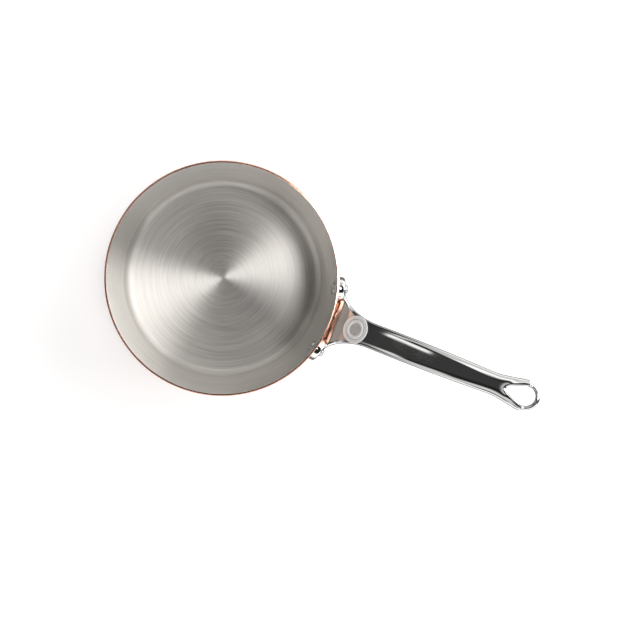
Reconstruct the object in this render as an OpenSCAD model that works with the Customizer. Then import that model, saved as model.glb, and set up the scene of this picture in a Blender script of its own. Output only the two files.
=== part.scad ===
/* [Pan body] */
// Outer diameter of the wall
pan_d = 200; // [180:2:220]
// Height from the base to the rim
pan_h = 110; // [100:1:130]
// Thickness of the copper layer
copper_t = 1.8; // [1.5:0.1:2.5]
// Thickness of the stainless steel lining
lining_t = 0.2; // [0.2:0.1:0.5]
// Outer radius of the corner between base and wall
corner_r = 11; // [6:1:16]
// Radius that breaks the outer edge of the rim
rim_round = 0.9; // [0.3:0.1:1.2]

/* [Rivets] */
// Angle of each rivet to either side of the handle
rivet_angle = 16; // [15:0.5:18]
// Depth of the rivets below the rim
rivet_depth = 18; // [16:1:20]
// Diameter of the shank
rivet_d = 6; // [5:0.5:7]
// Diameter of the head inside the pan
inner_head_d = 11.5; // [10:0.5:13]
// Height of the head inside the pan
inner_head_h = 1.6; // [1:0.1:2.2]
// Diameter of the peened head outside
outer_head_d = 8; // [7:0.5:9]
// Height of the peened head outside
outer_head_h = 2.6; // [2:0.1:3]

/* [Handle] */
// Distance from the wall to the centre of the eyelet, seen from above
handle_reach = 144.9; // [140:0.1:150]
// Slope of the neck under the medallion, in degrees
neck_slope = 44; // [40:1:46]
// Radius of the long bow that flattens the handle towards its end
bow_r = 316; // [300:1:340]
// Thickness of the neck
neck_t = 10; // [9:0.5:12]
// Thickness of the handle at the eyelet
end_t = 6.6; // [6:0.1:8]
// Half width of the handle just past the neck
grip_half_w = 10.9; // [10:0.1:12]
// Half width of the handle at its waist, before the eyelet
waist_half_w = 8.8; // [8:0.1:9.5]
// Radius of the curved arms that spread from the neck to the wall
arm_r = 39; // [36:1:42]
// Radius of each ear around its rivet
ear_r = 11; // [10:0.5:12]
// Distance from the wall to the outer face of each ear
ear_t = 7.5; // [6.5:0.5:8.5]
// Slope of the web between the two arms, in degrees
web_slope = 17; // [12:1:24]

/* [Eyelet and medallion] */
// Outer radius of the eyelet
eye_r = 11.8; // [11:0.1:13]
// Radius of the round end of the hanging hole
hole_r = 7.3; // [6:0.1:8]
// Radius of the narrow end of the hanging hole
hole_tip_r = 3.2; // [2.5:0.1:4]
// Distance between the centres of the two ends of the hole
hole_run = 10.8; // [8:0.1:12]
// Outer radius of the medallion
medal_r = 12; // [10:0.5:12.5]
// Radius of the middle of the medallion's raised ring
medal_ring_r = 7; // [6:0.1:8]
// Height of the medallion's raised ring
medal_ring_h = 0.7; // [0.4:0.1:1]

/* [Hidden] */
$fn = 96;
pan_r = pan_d / 2;
lining_r = pan_r - copper_t;
bore_r = lining_r - lining_t;
lining_corner_r = corner_r - copper_t;
bore_corner_r = lining_corner_r - lining_t;
open_top = 5;               // how far a cut runs past the rim
rivet_z = pan_h - rivet_depth;

medal_x = pan_r + 21;       // middle of the medallion, on the handle's top line
medal_z = pan_h + 1;
bow_x = medal_x + bow_r * sin(neck_slope);
bow_z = medal_z - bow_r * cos(neck_slope);
arm_end_x = pan_r + 35;     // where the arms run out into the grip
waist_x = pan_r + 122;
eye_x = pan_r + handle_reach;
root_x = pan_r - 3;         // start of the casting, inside the wall and the ears
root_half_w = pan_r * sin(rivet_angle) + 3.4;  // the arms end inside the ears
crest_z = rivet_z + ear_r - 1.5;  // top of the arms at the wall
flange_z = rivet_z - ear_r + 1;   // lower edge of the casting at the wall
crest_blend = 4;            // softness of the bend between the arms and the neck
flange_blend = 5;
grip_swell = 0.5;           // extra half width half way along the grip
web_x = pan_r + 12.4;       // where the web meets the neck
roll_x = pan_r + 6.5;       // where the web starts to roll down to the wall
roll_r = 4;
arm_w = 3;                  // width of each arm beside the web
web_flatness = 4;
ear_round = 3.5;            // rounding of each ear's outer edge
eye_round = 2.6;            // rounding of the eyelet's edges
medal_floor = 0.6;          // height of the medallion's flat disc above the neck
medal_bead = 1.3;           // radius of the raised ring's round section
section_points = 36;
root_step = 2;
grip_step = 5;

// The larger of a and b, with a bend of size k where they meet
function soft_max(a, b, k) = (a + b + sqrt((a - b) * (a - b) + k * k)) / 2;
function ease(t) = let (u = min(max(t, 0), 1)) u * u * (3 - 2 * u);
function mix(a, b, t) = a + (b - a) * t;

// Height and slope of an arc of radius r about the centre of the bow
function arc_z(x, r) = bow_z + sqrt(r * r - (bow_x - x) * (bow_x - x));
function arc_slope(x) = asin((bow_x - x) / bow_r);

function thickness(x) = mix(neck_t, end_t, ease((x - medal_x) / (eye_x - medal_x)));
function top_z(x) = soft_max(arc_z(x, bow_r), crest_z, crest_blend);
function bottom_z(x) = soft_max(arc_z(x, bow_r - thickness(x)), flange_z, flange_blend);

// Half width in plan: arms, then the gently swelling grip, then the eyelet
function arm_flare(x) = let (d = min(max(arm_end_x - x, 0), arm_r)) arm_r - sqrt(arm_r * arm_r - d * d);
function grip(x) = let (t = min(max((x - arm_end_x) / (waist_x - arm_end_x), 0), 1))
    mix(grip_half_w, waist_half_w, t) + grip_swell * sin(180 * t);
function half_width(x) = min(grip(x) + arm_flare(x), root_half_w)
    + (eye_r - waist_half_w) * ease((x - waist_x) / (eye_x - waist_x));

// Height of the web between the arms, which rolls down to the wall and runs up into the neck
function web_z(x) = x > web_x ? arc_z(x, bow_r)
    : arc_z(web_x, bow_r) - (web_x - x) * tan(web_slope) - pow(max(roll_x - x, 0), 2) / (2 * roll_r);
function dish(x, y) = let (u = abs(y) / (half_width(x) - arm_w))
    (top_z(x) - web_z(x)) * max(1 - pow(u, web_flatness), 0);

// How square the section is: nearly flat on top at the neck, crowned at the eyelet
function squareness(x) = mix(4.5, 2.6, ease((x - medal_x) / (eye_x - medal_x)));
function section(x) = let (
        w = half_width(x), hi = top_z(x), lo = bottom_z(x), q = squareness(x)
    ) [for (i = [0:section_points - 1]) let (
        a = 360 * i / section_points,
        y = w * cos(a),
        rise = (hi - lo) / 2 * pow(max(1 - pow(abs(cos(a)), q), 0), 1 / q),
        middle = (hi + lo) / 2
    ) [x, y, a < 180 ? middle + rise - dish(x, y) : middle - rise]];

function stations() = concat(
    [for (x = [root_x : root_step : arm_end_x]) x],
    [for (x = [arm_end_x + root_step : grip_step : waist_x]) x],
    [for (x = [waist_x + 1 : root_step : eye_x]) x]
);

// A closed skin through a list of rings with the same number of points
module skin(rings) {
    n = len(rings[0]);
    m = len(rings);
    points = [for (ring = rings) each ring];
    sides = [for (j = [0:m - 2], i = [0:n - 1]) let (
        a = j * n + i, b = j * n + (i + 1) % n, c = b + n, d = a + n
    ) each [[a, c, b], [a, d, c]]];
    first = [for (i = [0:n - 1]) i];
    last = [for (i = [n - 1:-1:0]) (m - 1) * n + i];
    polyhedron(points, concat([first, last], sides), convexity = 6);
}

// Half of a cup's section: radius r, from z0 up to z1, with a rounded lower corner
module cup(r, z0, z1, corner) {
    translate([0, z0]) square([r - corner, z1 - z0]);
    translate([0, z0 + corner]) square([r, z1 - z0 - corner]);
    translate([r - corner, z0 + corner]) circle(corner);
}

// The copper's section, open at the top, with the outer edge of the rim rounded
module shell_section() {
    difference() {
        union() {
            intersection() {
                cup(pan_r, 0, pan_h - rim_round, corner_r);
                square([pan_r + 1, pan_h]);
            }
            square([pan_r - rim_round, pan_h]);
            translate([pan_r - rim_round, pan_h - rim_round]) circle(rim_round);
        }
        cup(lining_r, copper_t, pan_h + open_top, lining_corner_r);
        translate([pan_r - corner_r, 0]) corner_waste();
    }
}

// What lies outside the rounded corner of the copper
module corner_waste() {
    difference() {
        square([corner_r + 1, corner_r]);
        translate([0, corner_r]) circle(corner_r);
    }
}

module lining_section() {
    difference() {
        intersection() {
            cup(lining_r, copper_t, pan_h, lining_corner_r);
            square([pan_r, pan_h]);
        }
        cup(bore_r, copper_t + lining_t, pan_h + open_top, bore_corner_r);
    }
}

// Puts children on a rivet's axis, with +Z pointing out of the pan
module on_rivet(side) {
    rotate([0, 0, side * rivet_angle]) translate([0, 0, rivet_z]) rotate([0, 90, 0]) children();
}

module rivet_holes() {
    for (side = [-1, 1]) on_rivet(side) translate([0, 0, pan_r - 20]) cylinder(h = 40, d = rivet_d);
}

// Half section of a low dome of diameter d and height h, standing on the line y = 0
module dome_section(d, h) {
    ball = (d * d / 4 + h * h) / (2 * h);
    intersection() {
        translate([0, h - ball]) circle(ball);
        square([d / 2, h]);
    }
}

module rivet(side) {
    inner_face = sqrt(bore_r * bore_r - pow(inner_head_d / 2, 2));
    color("silver") on_rivet(side) {
        rotate_extrude() {
            translate([0, inner_face]) mirror([0, 1]) dome_section(inner_head_d, inner_head_h);
            translate([0, inner_face]) square([rivet_d / 2, pan_r + ear_t - inner_face]);
            translate([0, pan_r + ear_t]) dome_section(outer_head_d, outer_head_h);
        }
        difference() {
            translate([0, 0, inner_face]) cylinder(h = 3, d = inner_head_d);
            rotate([0, -90, 0]) cylinder(h = 2 * pan_h, r = bore_r + 5, center = true);
        }
    }
}

module copper_shell() {
    color("#b5654a") difference() {
        rotate_extrude() shell_section();
        rivet_holes();
    }
}

module steel_lining() {
    color("#b9b7b2") difference() {
        rotate_extrude() lining_section();
        rivet_holes();
    }
}

module ear(side) {
    on_rivet(side) rotate_extrude() {
        square([ear_r, pan_r + ear_t - ear_round]);
        square([ear_r - ear_round, pan_r + ear_t]);
        translate([ear_r - ear_round, pan_r + ear_t - ear_round]) circle(ear_round);
    }
}

// Puts children on the handle's top line at x, with +Z square to the surface
module on_top(x) {
    translate([x, 0, arc_z(x, bow_r)]) rotate([0, -arc_slope(x), 0]) children();
}

module eyelet() {
    on_top(eye_x) rotate_extrude() translate([0, -end_t]) {
        translate([0, eye_round]) square([eye_r, end_t - 2 * eye_round]);
        square([eye_r - eye_round, end_t]);
        for (y = [eye_round, end_t - eye_round]) translate([eye_r - eye_round, y]) circle(eye_round);
    }
}

module hanging_hole() {
    on_top(eye_x) translate([0, 0, -end_t - 5]) linear_extrude(end_t + 10) {
        circle(hole_r);
        translate([-hole_run, 0]) circle(hole_tip_r);
        polygon(tangent_band(hole_r, hole_tip_r, hole_run));
    }
}

// The four corners where two circles' common tangents touch them
function tangent_band(r1, r2, run) = let (a = acos((r2 - r1) / run)) [
    [r1 * cos(a), r1 * sin(a)],
    [r2 * cos(a) - run, r2 * sin(a)],
    [r2 * cos(a) - run, -r2 * sin(a)],
    [r1 * cos(a), -r1 * sin(a)]
];

module medallion() {
    on_top(medal_x) rotate_extrude() {
        translate([0, -3]) square([medal_r, 3 + medal_floor]);
        translate([medal_ring_r, medal_floor + medal_ring_h - medal_bead]) circle(medal_bead);
    }
}

module handle_casting() {
    color("gainsboro") difference() {
        union() {
            skin([for (x = stations()) section(x)]);
            for (side = [-1, 1]) ear(side);
            eyelet();
            medallion();
        }
        translate([0, 0, -1]) cylinder(h = 2 * pan_h, r = pan_r);
        rivet_holes();
        hanging_hole();
    }
}

copper_shell();
steel_lining();
handle_casting();
rivet(1);  // rivet_left
rivet(-1);  // rivet_right
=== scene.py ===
"""The looks of a copper saucepan: copper body, brushed steel lining, polished cast handle, two rivets.

The shape functions work in millimetres, in the part's own frame: Z up, the handle along +X. Every mesh
is stored in metres.
"""
import math

import bpy
import numpy as np
import openvdb
from mathutils import Matrix, Vector


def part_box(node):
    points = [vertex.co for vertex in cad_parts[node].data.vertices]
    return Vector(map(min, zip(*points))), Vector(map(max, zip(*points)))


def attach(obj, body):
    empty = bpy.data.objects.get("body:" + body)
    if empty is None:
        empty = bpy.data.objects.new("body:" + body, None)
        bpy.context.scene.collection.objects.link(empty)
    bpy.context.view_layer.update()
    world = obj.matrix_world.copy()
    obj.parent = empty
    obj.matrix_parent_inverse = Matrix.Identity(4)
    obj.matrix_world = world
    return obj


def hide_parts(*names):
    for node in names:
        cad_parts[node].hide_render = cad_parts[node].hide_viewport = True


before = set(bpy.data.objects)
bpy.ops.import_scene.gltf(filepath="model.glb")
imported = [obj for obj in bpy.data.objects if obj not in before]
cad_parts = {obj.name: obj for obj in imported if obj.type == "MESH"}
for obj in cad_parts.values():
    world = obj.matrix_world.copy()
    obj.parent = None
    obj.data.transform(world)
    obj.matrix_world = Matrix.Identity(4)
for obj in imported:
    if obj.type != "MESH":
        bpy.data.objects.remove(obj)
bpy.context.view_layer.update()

MM = 0.001  # metres in a millimetre


def span(node):
    """A CAD node's lowest and highest corners, in millimetres."""
    low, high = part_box(node)
    return Vector(low) / MM, Vector(high) / MM


# ---------------------------------------------------------------- sizes
# What the frame's boxes tell is read from them. The rest is as in the part's own source.

PAN_R = span("copper_shell")[1].x
RIM_Z = span("copper_shell")[1].z
LINING_R = span("steel_lining")[1].x
COPPER_T = PAN_R - LINING_R
LINING_T = 0.2
CORNER_R = 11.0
RIM_ROUND = 0.9

RIVET_LOW, RIVET_HIGH = span("rivet_left")
RIVET_Z = (RIVET_LOW.z + RIVET_HIGH.z) / 2
RIVET_ANGLE = math.radians(16)
SHANK_R = 3.0
INNER_HEAD_R, INNER_HEAD_H, INNER_HEAD_SUNK = 5.75, 1.6, 0.8
OUTER_HEAD_R, OUTER_HEAD_H, OUTER_HEAD_SUNK = 4.0, 2.6, 0.3

MEDAL_X, MEDAL_Z = PAN_R + 21, RIM_Z + 1
NECK_SLOPE = math.radians(44)
BOW_R = 316.0  # the handle's top line is an arc of this radius
BOW_X = MEDAL_X + BOW_R * math.sin(NECK_SLOPE)
BOW_Z = MEDAL_Z - BOW_R * math.cos(NECK_SLOPE)
NECK_T, END_T = 10.0, 6.6
NECK_SQUARE, END_SQUARE = 4.5, 2.6  # exponents of the section: 2 is an ellipse, more is squarer
ARM_R, ARM_END_X = 39.0, PAN_R + 35
WAIST_X, EYE_X = PAN_R + 122, PAN_R + 144.9
GRIP_W, WAIST_W, GRIP_SWELL = 10.9, 8.8, 0.5
EAR_R, EAR_T, EAR_ROUND = 11.0, 7.5, 2.2
CREST_Z, FLANGE_Z = RIVET_Z + EAR_R - 1.5, RIVET_Z - EAR_R + 1
ROOT_W = PAN_R * math.sin(RIVET_ANGLE) + 3.4
WEB_X, ROLL_X, ROLL_R = PAN_R + 12.4, PAN_R + 6.5, 4.0
WEB_SLOPE = math.radians(17)
ARM_EDGE_W = 3.2  # how wide the arms stand beside the dished web
EYE_R, EYE_ROUND = 11.8, 2.4
HOLE_R, HOLE_TIP_R, HOLE_RUN = 7.3, 3.2, 10.8
WEB_BLEND, EAR_BLEND, EYE_BLEND, HOLE_BLEND = 1.6, 4.0, 5.0, 1.5  # how softly shapes meet
CELL = 0.6  # of the grid that the handle's mesh is taken from

MEDAL_R, MEDAL_FLOOR, MEDAL_SUNK = 12.0, 0.6, 3.0
MEDAL_EDGE = 0.45  # rounding of the medallion's edge
RING_R, RING_BEAD, RING_H = 7.0, 1.3, 0.7
GROOVE_R, GROOVE_W, GROOVE_H = 8.5, 0.35, 0.3
PETALS, PETAL_RUN, PETAL_H = 8, 3.9, 0.45
BUTTON_R, BUTTON_H = 1.3, 0.4


# ---------------------------------------------------------------- small mesh tools


def new_object(name, points, faces, normals=None):
    """A smooth mesh object from points in millimetres, with its own vertex normals if given."""
    mesh = bpy.data.meshes.new(name)
    mesh.from_pydata((np.asarray(points) * MM).tolist(), [], faces)
    mesh.update()
    mesh.shade_smooth()
    if normals is not None:
        mesh.normals_split_custom_set_from_vertices(np.asarray(normals).tolist())
    obj = bpy.data.objects.new(name, mesh)
    bpy.context.scene.collection.objects.link(obj)
    return obj


def rounded_profile(corners, arc_steps=16, longest=6.0):
    """Points (r, z) and normals along an outline whose corners (r, z, fillet radius) are rounded.

    Going along the outline, the outside is on the right.
    """
    points, normals = [], []

    def add(p, n):
        points.append(p)
        normals.append(n)

    def straight(a, b, n):
        steps = max(1, math.ceil((b - a).length / longest))
        for i in range(steps + 1):
            add(a.lerp(b, i / steps), n)

    spots = [Vector(c[:2]) for c in corners]
    start = spots[0]
    for before, here, after, corner in zip(spots, spots[1:], spots[2:], corners[1:]):
        into, out = (here - before).normalized(), (after - here).normalized()
        turn = into.angle_signed(out)
        trim = corner[2] * math.tan(abs(turn) / 2)
        side = Vector((into.y, -into.x))
        straight(start, here - into * trim, side)
        inward = -side if turn < 0 else side
        centre = here - into * trim + inward * corner[2]
        for i in range(1, arc_steps):
            swing = Matrix.Rotation(-turn * i / arc_steps, 2)
            add(centre + swing @ (-inward * corner[2]), swing @ side)
        start = here + out * trim
    straight(start, spots[-1], Vector((out.y, -out.x)))
    return points, normals


def lathe(name, corners, segments=256, arc_steps=16):
    """A solid of revolution about Z. The outline starts and ends on the axis."""
    profile, slopes = rounded_profile(corners, arc_steps)
    angles = np.arange(segments) * 2 * math.pi / segments
    cos, sin = np.cos(angles), np.sin(angles)
    r = np.array([p.x for p in profile[1:-1]])[:, None]
    z = np.array([p.y for p in profile[1:-1]])[:, None]
    nr = np.array([n.x for n in slopes[1:-1]])[:, None]
    nz = np.array([n.y for n in slopes[1:-1]])[:, None]
    points = np.stack([r * cos, r * sin, z + 0 * cos], 2).reshape(-1, 3)
    normals = np.stack([nr * cos, nr * sin, nz + 0 * cos], 2).reshape(-1, 3)
    faces = []
    for j in range(len(profile) - 3):
        for i in range(segments):
            k = (i + 1) % segments
            a, b = j * segments, (j + 1) * segments
            faces.append((a + i, a + k, b + k, b + i))
    first, last = len(points), len(points) + 1
    top = (len(profile) - 3) * segments
    for i in range(segments):
        k = (i + 1) % segments
        faces += [(first, k, i), (last, top + i, top + k)]
    ends = [[0, 0, profile[0].y], [0, 0, profile[-1].y]]
    end_normals = [[0, 0, slopes[0].y], [0, 0, slopes[-1].y]]
    return new_object(name, np.vstack([points, ends]), faces, np.vstack([normals, end_normals]))


# ---------------------------------------------------------------- the handle as a distance field


def soft_max(a, b, k):
    """The larger of a and b, rounded where they cross."""
    return (a + b + np.sqrt((a - b) ** 2 + k * k)) / 2


def blend_min(a, b, k):
    """The smaller of a and b, rounded only where they are within k of each other."""
    h = np.maximum(k - np.abs(a - b), 0) / k
    return np.minimum(a, b) - h * h * h * k / 6


def ease(t):
    t = np.clip(t, 0, 1)
    return t * t * (3 - 2 * t)


def mix(a, b, t):
    return a + (b - a) * t


def arc_z(x, r):
    """Height of the arc of radius r about the centre of the handle's bow."""
    return BOW_Z + np.sqrt(np.maximum(r * r - (BOW_X - x) ** 2, 1))


def thickness(x):
    return mix(NECK_T, END_T, ease((x - MEDAL_X) / (EYE_X - MEDAL_X)))


def top_z(x):
    return soft_max(arc_z(x, BOW_R), CREST_Z, 4)


def bottom_z(x):
    return soft_max(arc_z(x, BOW_R - thickness(x)), FLANGE_Z, 5)


def half_width(x):
    reach = np.clip(ARM_END_X - x, 0, ARM_R - 0.2)
    flare = ARM_R - np.sqrt(ARM_R**2 - reach**2)
    t = np.clip((x - ARM_END_X) / (WAIST_X - ARM_END_X), 0, 1)
    grip = mix(GRIP_W, WAIST_W, t) + GRIP_SWELL * np.sin(np.pi * t)
    end = (EYE_R - WAIST_W) * ease((x - WAIST_X) / (EYE_X - WAIST_X))
    return np.minimum(grip + flare, ROOT_W) + end


def web_z(x):
    """The web between the arms: it rolls down to the wall and runs up into the neck."""
    line = arc_z(WEB_X, BOW_R) - (WEB_X - x) * math.tan(WEB_SLOPE)
    line = line - np.maximum(ROLL_X - x, 0) ** 2 / (2 * ROLL_R)
    return np.where(x > WEB_X, arc_z(x, BOW_R), line)


def bar(x, y, z):
    """Arms, neck and grip: a squarish section whose width and thickness change along the handle."""
    w, high, low = half_width(x), top_z(x), bottom_z(x)
    square = mix(NECK_SQUARE, END_SQUARE, ease((x - MEDAL_X) / (EYE_X - MEDAL_X)))
    half, middle = (high - low) / 2, (high + low) / 2
    lift = np.cos(np.arcsin(np.clip((BOW_X - x) / BOW_R, 0, 0.98)))
    u, v = np.abs(y) / w, np.abs(z - middle) / half
    reach = np.maximum((u**square + v**square) ** (1 / square), 1e-3)
    size = np.hypot(y, (z - middle) * lift) + 1e-3
    skin = size * (1 - 1 / reach)
    return np.maximum(skin, np.maximum(x - EYE_X, PAN_R - 4 - x))


def dish(x, y, z):
    """What the dished web leaves out between the arms, as a solid."""
    over = (web_z(x) - z) * 0.8  # about square to the web, which slopes
    beside = np.abs(y) - (half_width(x) - ARM_EDGE_W)
    return soft_max(soft_max(over, beside, 2.0), x - WEB_X - 4, 3.0)


def ear(x, y, z, side):
    """A thick round ear on a rivet's axis."""
    c, s = math.cos(RIVET_ANGLE), math.sin(RIVET_ANGLE) * side
    out, across = x * c + y * s, y * c - x * s
    edge = np.hypot(across, z - RIVET_Z) - EAR_R
    face = out - (PAN_R + EAR_T)
    return soft_max(edge, face, EAR_ROUND) + 0.3


def tangent_frame(x, z, at_x):
    """Distances along the top line and square to it, measured from its point at at_x."""
    slope = math.asin((BOW_X - at_x) / BOW_R)
    dx, dz = x - at_x, z - float(arc_z(at_x, BOW_R))
    return dx * math.cos(slope) + dz * math.sin(slope), dz * math.cos(slope) - dx * math.sin(slope)


def eyelet(x, y, z):
    """The flat round end that the hanging hole goes through."""
    along, up = tangent_frame(x, z, EYE_X)
    edge = np.hypot(along, y) - EYE_R
    face = np.abs(up + END_T / 2) - END_T / 2
    return soft_max(edge, face, EYE_ROUND) + 0.25


def hanging_hole(x, y, z):
    """A drop: two circles and their common tangents."""
    along, _ = tangent_frame(x, z, EYE_X)
    p, q = np.abs(y), -along
    b = (HOLE_R - HOLE_TIP_R) / HOLE_RUN
    a = math.sqrt(1 - b * b)
    k = -b * p + a * q
    round_end = np.hypot(p, q) - HOLE_R
    narrow_end = np.hypot(p, q - HOLE_RUN) - HOLE_TIP_R
    side = a * p + b * q - HOLE_R
    return np.where(k < 0, round_end, np.where(k > a * HOLE_RUN, narrow_end, side))


def casting(x, y, z):
    """The whole handle: below 0 inside it."""
    solid = bar(x, y, z)
    solid = soft_max(solid, -dish(x, y, z), WEB_BLEND)
    for side in (-1, 1):
        solid = blend_min(solid, ear(x, y, z, side), EAR_BLEND)
    solid = blend_min(solid, eyelet(x, y, z), EYE_BLEND)
    solid = soft_max(solid, -hanging_hole(x, y, z), HOLE_BLEND)
    wall = PAN_R - np.hypot(x, y)
    return np.maximum(solid, wall)


def on_top(points, at_x):
    """Carries points (along, across, up) to where the handle's top line passes at_x."""
    slope = math.asin((BOW_X - at_x) / BOW_R)
    turn = np.array(Matrix.Rotation(-slope, 3, "Y"))
    return points @ turn.T + np.array([at_x, 0, float(arc_z(at_x, BOW_R))])


def relief(r, angle):
    """How high the medallion stands above the neck: a flat pad, a raised ring, and a rosette inside it."""
    ring = np.sqrt(np.maximum(RING_BEAD**2 - (r - RING_R) ** 2, 0)) + RING_H - RING_BEAD
    petal = 0.5 + 0.5 * np.cos(PETALS * angle)
    petals = PETAL_H * petal * np.sin(np.pi * np.clip((r - BUTTON_R) / PETAL_RUN, 0, 1))
    button = BUTTON_H * np.sqrt(np.maximum(1 - (r / BUTTON_R) ** 2, 0))
    hollow = 0.25 * ease((RING_R - r) / 1.5)
    groove = GROOVE_H * np.exp(-(((r - GROOVE_R) / GROOVE_W) ** 2))
    floor_z = MEDAL_FLOOR - hollow - groove
    over_edge = np.maximum(r - MEDAL_R + MEDAL_EDGE, 0)
    edge = MEDAL_EDGE - np.sqrt(np.maximum(MEDAL_EDGE**2 - over_edge**2, 0))
    return soft_max(floor_z + petals + button, MEDAL_FLOOR + ring, 0.15) - edge


def medallion():
    """The round pad on the neck, as a closed solid sunk into it."""
    flat = np.arange(0.2, MEDAL_R - MEDAL_EDGE, 0.15)
    radii = np.concatenate([flat, MEDAL_R - MEDAL_EDGE * np.linspace(1, 0, 9) ** 2])
    angles = np.arange(160) * 2 * math.pi / 160
    r, a = np.meshgrid(radii, angles, indexing="ij")
    top = np.stack([r * np.cos(a), r * np.sin(a), relief(r, a)], 2).reshape(-1, 3)
    rim = np.stack([MEDAL_R * np.cos(angles), MEDAL_R * np.sin(angles), -MEDAL_SUNK + 0 * angles], 1)
    points = np.vstack([top, rim, [[0, 0, float(relief(0.0, 0.0))], [0, 0, -MEDAL_SUNK]]])
    n, rings, faces = len(angles), len(radii) + 1, []
    for j in range(rings - 1):
        for i in range(n):
            k = (i + 1) % n
            faces.append((j * n + i, (j + 1) * n + i, (j + 1) * n + k, j * n + k))
    for i in range(n):
        k = (i + 1) % n
        faces += [(i, k, rings * n), ((rings - 1) * n + k, (rings - 1) * n + i, rings * n + 1)]
    return new_object("medallion", on_top(points, MEDAL_X), faces)


def rivet(side):
    """A rivet through lining, copper and ear, with a low head inside and a peened head outside."""
    inner = math.sqrt((LINING_R - LINING_T) ** 2 - INNER_HEAD_R**2)
    outer = PAN_R + EAR_T
    corners = [
        (0, inner - INNER_HEAD_H, 0),
        (INNER_HEAD_R, inner - INNER_HEAD_H, 1.5),
        (INNER_HEAD_R, inner + INNER_HEAD_SUNK, 0.1),
        (SHANK_R, inner + INNER_HEAD_SUNK, 0.1),
        (SHANK_R, outer - OUTER_HEAD_SUNK, 0.1),
        (OUTER_HEAD_R, outer - OUTER_HEAD_SUNK, 0.1),
        (OUTER_HEAD_R, outer + OUTER_HEAD_H, 2.6),
        (0, outer + OUTER_HEAD_H, 0),
    ]
    piece = lathe("rivet_near" if side > 0 else "rivet_far", corners, 64, 10)
    turn = Matrix.Rotation(side * RIVET_ANGLE, 4, "Z") @ Matrix.Translation((0, 0, RIVET_Z * MM))
    piece.data.transform(turn @ Matrix.Rotation(math.pi / 2, 4, "Y"))
    return piece


def field_mesh(name, field, low, high, cell):
    """The surface where field is 0, as smooth quads whose points and normals come from the field."""
    axes = [np.arange(a, b, cell) for a, b in zip(low, high)]
    gx, gy, gz = np.meshgrid(*axes, indexing="ij", sparse=True)
    values = field(gx, gy, gz).astype(np.float32)
    grid = openvdb.FloatGrid(float(values.max()))
    grid.copyFromArray(values)
    points, quads = grid.convertToQuads(0.0)
    points = points.astype(np.float64) * cell + np.array([a[0] for a in axes])

    def slope(p):
        step = 0.02
        parts = []
        for axis in range(3):
            d = np.zeros(3)
            d[axis] = step
            parts.append((field(*(p + d).T) - field(*(p - d).T)) / (2 * step))
        return np.stack(parts, 1)

    for _ in range(4):
        g = slope(points)
        move = field(*points.T)[:, None] * g / np.maximum((g * g).sum(1), 0.05)[:, None]
        points -= np.clip(move, -cell / 2, cell / 2)
    g = slope(points)
    normals = g / np.maximum(np.linalg.norm(g, axis=1), 1e-6)[:, None]
    return new_object(name, points, quads.tolist(), normals)


# ---------------------------------------------------------------- materials


class Nodes:
    """A short way to write node graphs.

    A value is a number, a colour, a vector or another node's output.
    """

    def __init__(self, tree):
        self.tree = tree
        tree.nodes.clear()

    def add(self, kind, inputs=(), out=0, **settings):
        node = self.tree.nodes.new(kind)
        for key, value in settings.items():
            setattr(node, key, value)
        for key, value in dict(inputs).items():
            socket = node.inputs[key]
            if isinstance(value, bpy.types.NodeSocket):
                self.tree.links.new(value, socket)
            else:
                socket.default_value = value
        return node.outputs[out]

    def math(self, operation, *values):
        return self.add("ShaderNodeMath", enumerate(values), operation=operation)

    def length(self, x, y):
        squares = self.math("MULTIPLY", x, x), self.math("MULTIPLY", y, y)
        return self.math("SQRT", self.math("ADD", *squares))

    def ramp(self, value, low, high, start=0.0, end=1.0):
        """start to end as value goes from low to high."""
        names = ("Value", "From Min", "From Max", "To Min", "To Max")
        inputs = zip(names, (value, low, high, start, end))
        return self.add("ShaderNodeMapRange", inputs, interpolation_type="SMOOTHSTEP")

    def window(self, value, low, high, soft):
        """1 between low and high, 0 outside, with soft edges."""
        rise = self.ramp(value, low - soft, low + soft)
        fall = self.ramp(value, high - soft, high + soft, 1, 0)
        return self.math("MULTIPLY", rise, fall)

    def place_vector(self):
        """The place in the object's own space, in metres."""
        return self.add("ShaderNodeTexCoord", out="Object")

    def place(self):
        """x, y and z of that place."""
        node = self.tree.nodes.new("ShaderNodeSeparateXYZ")
        self.tree.links.new(self.place_vector(), node.inputs[0])
        return node.outputs

    def noise(self, spot, scale, detail):
        return self.add("ShaderNodeTexNoise", {"Vector": spot, "Scale": scale, "Detail": detail})

    def blend(self, factor, first, second):
        """A colour between two colours."""
        inputs = {"Factor": factor, 6: (*first, 1), 7: (*second, 1)}
        return self.add("ShaderNodeMix", inputs, out=2, data_type="RGBA")

    def blend_level(self, factor, first, second):
        """A number between two numbers."""
        inputs = {"Factor": factor, "A": first, "B": second}
        return self.add("ShaderNodeMix", inputs, data_type="FLOAT")

    def bump(self, height, strength, distance):
        return self.add("ShaderNodeBump", {"Height": height, "Strength": strength, "Distance": distance})


COPPER_DEEP, COPPER_PALE = (0.85, 0.46, 0.34), (0.89, 0.50, 0.38)
LINING_DEEP, LINING_PALE = (0.63, 0.605, 0.57), (0.80, 0.775, 0.74)
MIRROR_STEEL, SATIN_STEEL = (0.73, 0.73, 0.72), (0.58, 0.56, 0.52)
# the medallion's grey is its inner disc's own tone, and also painted shade in its groove
MEDAL_PALE, MEDAL_GREY_AND_GROOVE_SHADE = (0.96, 0.96, 0.95), (0.60, 0.585, 0.57)
RIVET_STEEL = (0.68, 0.67, 0.65)


def finish_material(name, metallic=1.0):
    """A material with a Principled shader. Returns it with its graph and its shader node."""
    material = bpy.data.materials.new(name)
    material.use_nodes = True
    graph = Nodes(material.node_tree)
    shader = material.node_tree.nodes.new("ShaderNodeBsdfPrincipled")
    output = material.node_tree.nodes.new("ShaderNodeOutputMaterial")
    material.node_tree.links.new(shader.outputs[0], output.inputs[0])
    shader.inputs["Metallic"].default_value = metallic
    return material, graph, shader


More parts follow.
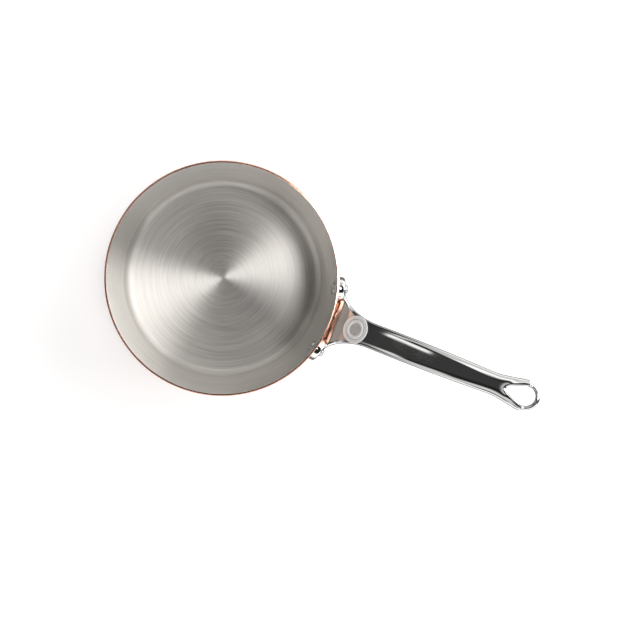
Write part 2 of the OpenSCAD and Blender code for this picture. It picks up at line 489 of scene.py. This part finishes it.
def link(graph, value, shader, socket):
    graph.tree.links.new(value, shader.inputs[socket])


def brush_marks(graph, scale, arc, detail=3.0):
    """Noise stretched round the Z axis: long thin arcs, about scale of them to a metre of outline."""
    x, y, z = graph.place()
    outline = graph.math("MULTIPLY", graph.math("ADD", graph.length(x, y), z), scale)
    turn = graph.math("MULTIPLY", graph.math("ABSOLUTE", graph.math("ARCTAN2", y, x)), arc)
    spot = graph.add("ShaderNodeCombineXYZ", [(0, outline), (1, turn)])
    return graph.noise(spot, 1.0, detail)


def copper_material():
    """Buffed copper: fine turned lines, and softly uneven colour and polish."""
    material, graph, shader = finish_material("polished_copper")
    clouds = graph.noise(graph.place_vector(), 28, 4)
    colour = graph.blend(graph.ramp(clouds, 0.35, 0.65), COPPER_DEEP, COPPER_PALE)
    link(graph, colour, shader, "Base Color")
    lines = brush_marks(graph, 700, 0.8)
    line_rough = graph.ramp(lines, 0.3, 0.7, 0.09, 0.17)
    cloud_rough = graph.ramp(clouds, 0.4, 0.7, 0.0, 0.03)
    link(graph, graph.math("ADD", line_rough, cloud_rough), shader, "Roughness")
    link(graph, graph.bump(lines, 0.05, 0.0003), shader, "Normal")
    return material


def lining_material():
    """Stainless steel brushed in rings, so that a light shows in it as a bright fan."""
    material, graph, shader = finish_material("brushed_lining")
    shader.inputs["Anisotropic"].default_value = 0.95
    shader.inputs["Anisotropic Rotation"].default_value = 0.25
    tangent = graph.add("ShaderNodeTangent", direction_type="RADIAL", axis="Z")
    link(graph, tangent, shader, "Tangent")
    fine, broad = brush_marks(graph, 1100, 1.3), brush_marks(graph, 260, 0.4)
    marks = graph.math("ADD", graph.math("MULTIPLY", fine, 0.65), graph.math("MULTIPLY", broad, 0.35))
    colour = graph.blend(graph.ramp(marks, 0.36, 0.64), LINING_DEEP, LINING_PALE)
    link(graph, colour, shader, "Base Color")
    link(graph, graph.ramp(marks, 0.3, 0.7, 0.34, 0.44), shader, "Roughness")
    link(graph, graph.bump(marks, 0.12, 0.0003), shader, "Normal")
    return material


def casting_material():
    """Cast steel: mirror polished, but satin and greyer on the dished web between the arms."""
    material, graph, shader = finish_material("polished_casting")
    x, y, _ = graph.place()
    dx = graph.math("SUBTRACT", x, ARM_END_X * MM)
    dy = graph.math("SUBTRACT", graph.math("ABSOLUTE", y), (GRIP_W + ARM_R) * MM)
    inside = graph.ramp(graph.length(dx, dy), (ARM_R + 2.4) * MM, (ARM_R + 4.4) * MM)
    web = graph.math("MULTIPLY", inside, graph.ramp(x, (WEB_X + 8) * MM, (WEB_X + 5) * MM))
    past_roll = graph.ramp(x, (ROLL_X - 2) * MM, (ROLL_X + 1.5) * MM)
    satin = graph.math("MULTIPLY", web, past_roll)
    link(graph, graph.blend(satin, MIRROR_STEEL, SATIN_STEEL), shader, "Base Color")
    link(graph, graph.ramp(satin, 0, 1, 1.0, 0.45), shader, "Metallic")
    grain = graph.noise(graph.place_vector(), 900, 2)
    satin_rough = graph.ramp(grain, 0.3, 0.7, 0.19, 0.27)
    polish_rough = graph.ramp(graph.noise(graph.place_vector(), 70, 3), 0.35, 0.7, 0.05, 0.09)
    link(graph, graph.blend_level(satin, polish_rough, satin_rough), shader, "Roughness")
    waves = graph.noise(graph.place_vector(), 45, 1)
    link(graph, graph.bump(waves, 0.10, 0.0008), shader, "Normal")
    return material


def medallion_material():
    """A pale blasted face that scatters light as paint does, greyer inside the ring, and darker in the
    groove as painted shade.
    """
    material, graph, shader = finish_material("matt_medallion", metallic=0.0)
    grain = graph.noise(graph.place_vector(), 1500, 2)
    centre = [(0, graph.place_vector()), (1, Vector((MEDAL_X, 0, MEDAL_Z)) * MM)]
    reach = graph.add("ShaderNodeVectorMath", centre, out="Value", operation="DISTANCE")
    disc = graph.ramp(reach, (RING_R - 1.2) * MM, (RING_R - 1.9) * MM)
    # the groove's grey is painted shade in the recess; the disc's grey is its own tone
    groove = graph.window(reach, (GROOVE_R - 0.2) * MM, (GROOVE_R + 0.4) * MM, 0.3 * MM)
    disc_grey_and_groove_shade = graph.math("MAXIMUM", disc, groove)
    link(graph, graph.blend(disc_grey_and_groove_shade, MEDAL_PALE, MEDAL_GREY_AND_GROOVE_SHADE), shader, "Base Color")
    link(graph, graph.ramp(grain, 0.3, 0.7, 0.26, 0.40), shader, "Roughness")
    link(graph, graph.bump(grain, 0.15, 0.0002), shader, "Normal")
    return material


def rivet_material():
    """Satin steel, finely mottled."""
    material, graph, shader = finish_material("satin_rivet")
    shader.inputs["Base Color"].default_value = (*RIVET_STEEL, 1)
    grain = graph.noise(graph.place_vector(), 600, 3)
    link(graph, graph.ramp(grain, 0.3, 0.7, 0.18, 0.32), shader, "Roughness")
    return material


# ---------------------------------------------------------------- the pieces


def dress(piece, material, slot, *nodes):
    """Gives a piece its material and its body, and hides the CAD nodes that it stands for. The slot is not
    used.
    """
    piece.data.materials.clear()
    piece.data.materials.append(material)
    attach(piece, "root")
    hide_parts(*nodes)


def copper_body():
    corners = [
        (0, 0, 0),
        (PAN_R, 0, CORNER_R),
        (PAN_R, RIM_Z, RIM_ROUND),
        (LINING_R, RIM_Z, 0.1),
        (LINING_R, COPPER_T, CORNER_R - COPPER_T),
        (0, COPPER_T, 0),
    ]
    return lathe("copper_body", corners)


def lining():
    bore_r, floor_z = LINING_R - LINING_T, COPPER_T + LINING_T
    corners = [
        (0, COPPER_T, 0),
        (LINING_R, COPPER_T, CORNER_R - COPPER_T),
        (LINING_R, RIM_Z, 0.05),
        (bore_r, RIM_Z, 0.1),
        (bore_r, floor_z, CORNER_R - COPPER_T - LINING_T),
        (0, floor_z, 0),
    ]
    return lathe("lining", corners)


dress(copper_body(), copper_material(), "copper", "copper_shell")
dress(lining(), lining_material(), "brushed_lining", "steel_lining")
low, high = span("handle_casting")
margin = Vector((2, 2, 2))
handle = field_mesh("handle", casting, low - margin, high + margin, CELL)
dress(handle, casting_material(), "polished_casting", "handle_casting")
dress(medallion(), medallion_material(), "polished_casting", "handle_casting")
rivet_steel = rivet_material()
dress(rivet(1), rivet_steel, "rivet_steel", "rivet_left")
dress(rivet(-1), rivet_steel, "rivet_steel", "rivet_right")


# ---------------------------------------------------------------- camera, floor and light

ROLL = math.radians(21.1)  # the handle runs this far below the picture's horizontal
RIGHT = Vector((math.cos(ROLL), math.sin(ROLL), 0))
UP = Vector((-math.sin(ROLL), math.cos(ROLL), 0))
OUT = Vector((0, 0, 1))
CAMERA_RISE = 604.2  # above the rim
CAMERA_RIGHT, CAMERA_UP = 3.5, 4.1  # off the pan's axis
FLOOR_R, FLOOR_SUNK = 1200, 0.3
OPEN_SKY = 1.3  # the light where no card is

# Cards of light and dark in the sky, each over those before it. Their numbers are brightness, the bearing of
# the middle from the picture's right towards its top, the width, the lower and upper edge above the horizon,
# and how soft the edges are. All but the brightness are in degrees.
CARDS = (
    (0.02, 0, 400, (30, 100), 5),  # the dark room overhead
    (3.0, 14, 86, (23, 50), 6),  # high wall of light on the right
    (3.4, 16, 80, (0, 24), 5),  # and a low one
    (2.3, 285, 84, (20, 45), 8),  # light at the picture's bottom
    (1.4, 97, 70, (46, 62), 5),  # light at its top, for the lower part of the pan's floor
    (0.9, 222, 44, (46, 62), 5),  # and at its lower left
    (0.75, 95, 70, (24, 48), 6),  # what the handle's upper edge reflects
    (0.8, 207, 36, (22, 46), 5),  # what the handle's lower edge reflects
    (0.2, 339, 22, (-20, 54), 4),  # darker where the copper faces the handle
    (15.0, 12, 48, (74, 83), 2),  # the key
    (0.9, 44, 16, (64, 76), 4),  # its soft edge
    (0.7, 159, 140, (-5, 26), 5),  # what the handle's sides reflect
    (0.6, 159, 50, (73, 82), 2),  # what the eyelet reflects
    (0.05, 157, 34, (8, 74), 3),  # what the handle's dark core reflects
    (0.03, 159, 110, (-20, 18), 5),  # what its neck reflects
    (0.04, 124, 44, (-20, 24), 4),  # and the side of its neck
    (1.2, 151, 10, (26, 44), 1.6),  # a small pale reflection beside the core
)


def camera():
    """Looks straight down into the pan."""
    data = bpy.data.cameras.new("camera")
    data.lens, data.sensor_width = 40.06, 36
    data.shift_x, data.shift_y = 0.109, -0.067
    data.clip_start, data.clip_end = 0.01, 10
    cam = bpy.data.objects.new("camera", data)
    bpy.context.scene.collection.objects.link(cam)
    tilt = Matrix.Rotation(-0.005, 3, "X") @ Matrix.Rotation(-0.033, 3, "Y")
    turn = Matrix((RIGHT, UP, OUT)).transposed() @ tilt
    place = RIGHT * CAMERA_RIGHT + UP * CAMERA_UP + OUT * (RIM_Z + CAMERA_RISE)
    cam.matrix_world = Matrix.Translation(place * MM) @ turn.to_4x4()
    bpy.context.scene.camera = cam


def floor():
    """A round floor that can be seen only from above.

    The camera sees it pale and plain. Its reflection in the metal is darker near the pan and on the
    handle's side, as if the object shaded it there.
    """
    angles = np.linspace(0, 2 * math.pi, 97)[:-1]
    points = [(FLOOR_R * math.cos(a), FLOOR_R * math.sin(a), -FLOOR_SUNK) for a in angles]
    piece = new_object("floor", points, [list(range(len(points)))])
    material = bpy.data.materials.new("pale_floor")
    material.use_nodes = True
    graph = Nodes(material.node_tree)
    seen_directly = graph.add("ShaderNodeLightPath", out="Is Camera Ray")
    x, y, _ = graph.place()
    reach = graph.length(x, y)
    facing = graph.ramp(graph.math("DIVIDE", x, reach), -0.5, 0.4, 1.0, 0.12)
    mirrored = graph.math("MULTIPLY", graph.ramp(reach, 0.13, 0.6, 0.1, 0.9), facing)
    strength = graph.blend_level(seen_directly, mirrored, 0.38)
    colour = graph.blend(seen_directly, (0.2, 0.2, 0.2), (0.85, 0.85, 0.85))
    paint = graph.add("ShaderNodeBsdfDiffuse", {"Color": colour})
    glow = graph.add("ShaderNodeEmission", {"Color": (1, 1, 1, 1), "Strength": strength})
    both = graph.add("ShaderNodeAddShader", [(0, paint), (1, glow)])
    behind = graph.add("ShaderNodeNewGeometry", out="Backfacing")
    clear = graph.add("ShaderNodeBsdfTransparent")
    seen = graph.add("ShaderNodeMixShader", [(0, behind), (1, both), (2, clear)])
    output = graph.tree.nodes.new("ShaderNodeOutputMaterial")
    graph.tree.links.new(seen, output.inputs["Surface"])
    piece.data.materials.append(material)


def card(graph, direction, behind, level, bearing, width, lift, soft):
    """A light or dark card over what is behind it, with the numbers that CARDS holds."""
    ahead = Matrix.Rotation(math.radians(bearing), 3, "Z") @ RIGHT

    def along(axis):
        inputs = [(0, direction), (1, axis)]
        return graph.add("ShaderNodeVectorMath", inputs, out="Value", operation="DOT_PRODUCT")

    angle = graph.math("DEGREES", graph.math("ARCTAN2", along(OUT.cross(ahead)), along(ahead)))
    height = graph.math("DEGREES", graph.math("ARCSINE", along(OUT)))
    across = graph.window(angle, -width / 2, width / 2, soft)
    mask = graph.math("MULTIPLY", across, graph.window(height, *lift, soft))
    return graph.blend_level(mask, behind, level)


def studio():
    """Light from all round, made of the cards. The camera itself sees plain white."""
    world = bpy.data.worlds.new("studio")
    bpy.context.scene.world = world
    world.use_nodes = True
    graph = Nodes(world.node_tree)
    direction = graph.add("ShaderNodeTexCoord", out="Generated")
    level = OPEN_SKY
    for numbers in CARDS:
        level = card(graph, direction, level, *numbers)
    sky = graph.add("ShaderNodeBackground", {"Color": level})
    plain = graph.add("ShaderNodeBackground", {"Color": (1, 1, 1, 1)})
    seen_directly = graph.add("ShaderNodeLightPath", out="Is Camera Ray")
    both = graph.add("ShaderNodeMixShader", [(0, seen_directly), (1, sky), (2, plain)])
    output = graph.tree.nodes.new("ShaderNodeOutputWorld")
    graph.tree.links.new(both, output.inputs["Surface"])


bpy.context.scene.view_settings.view_transform = "Standard"
camera()
floor()
studio()
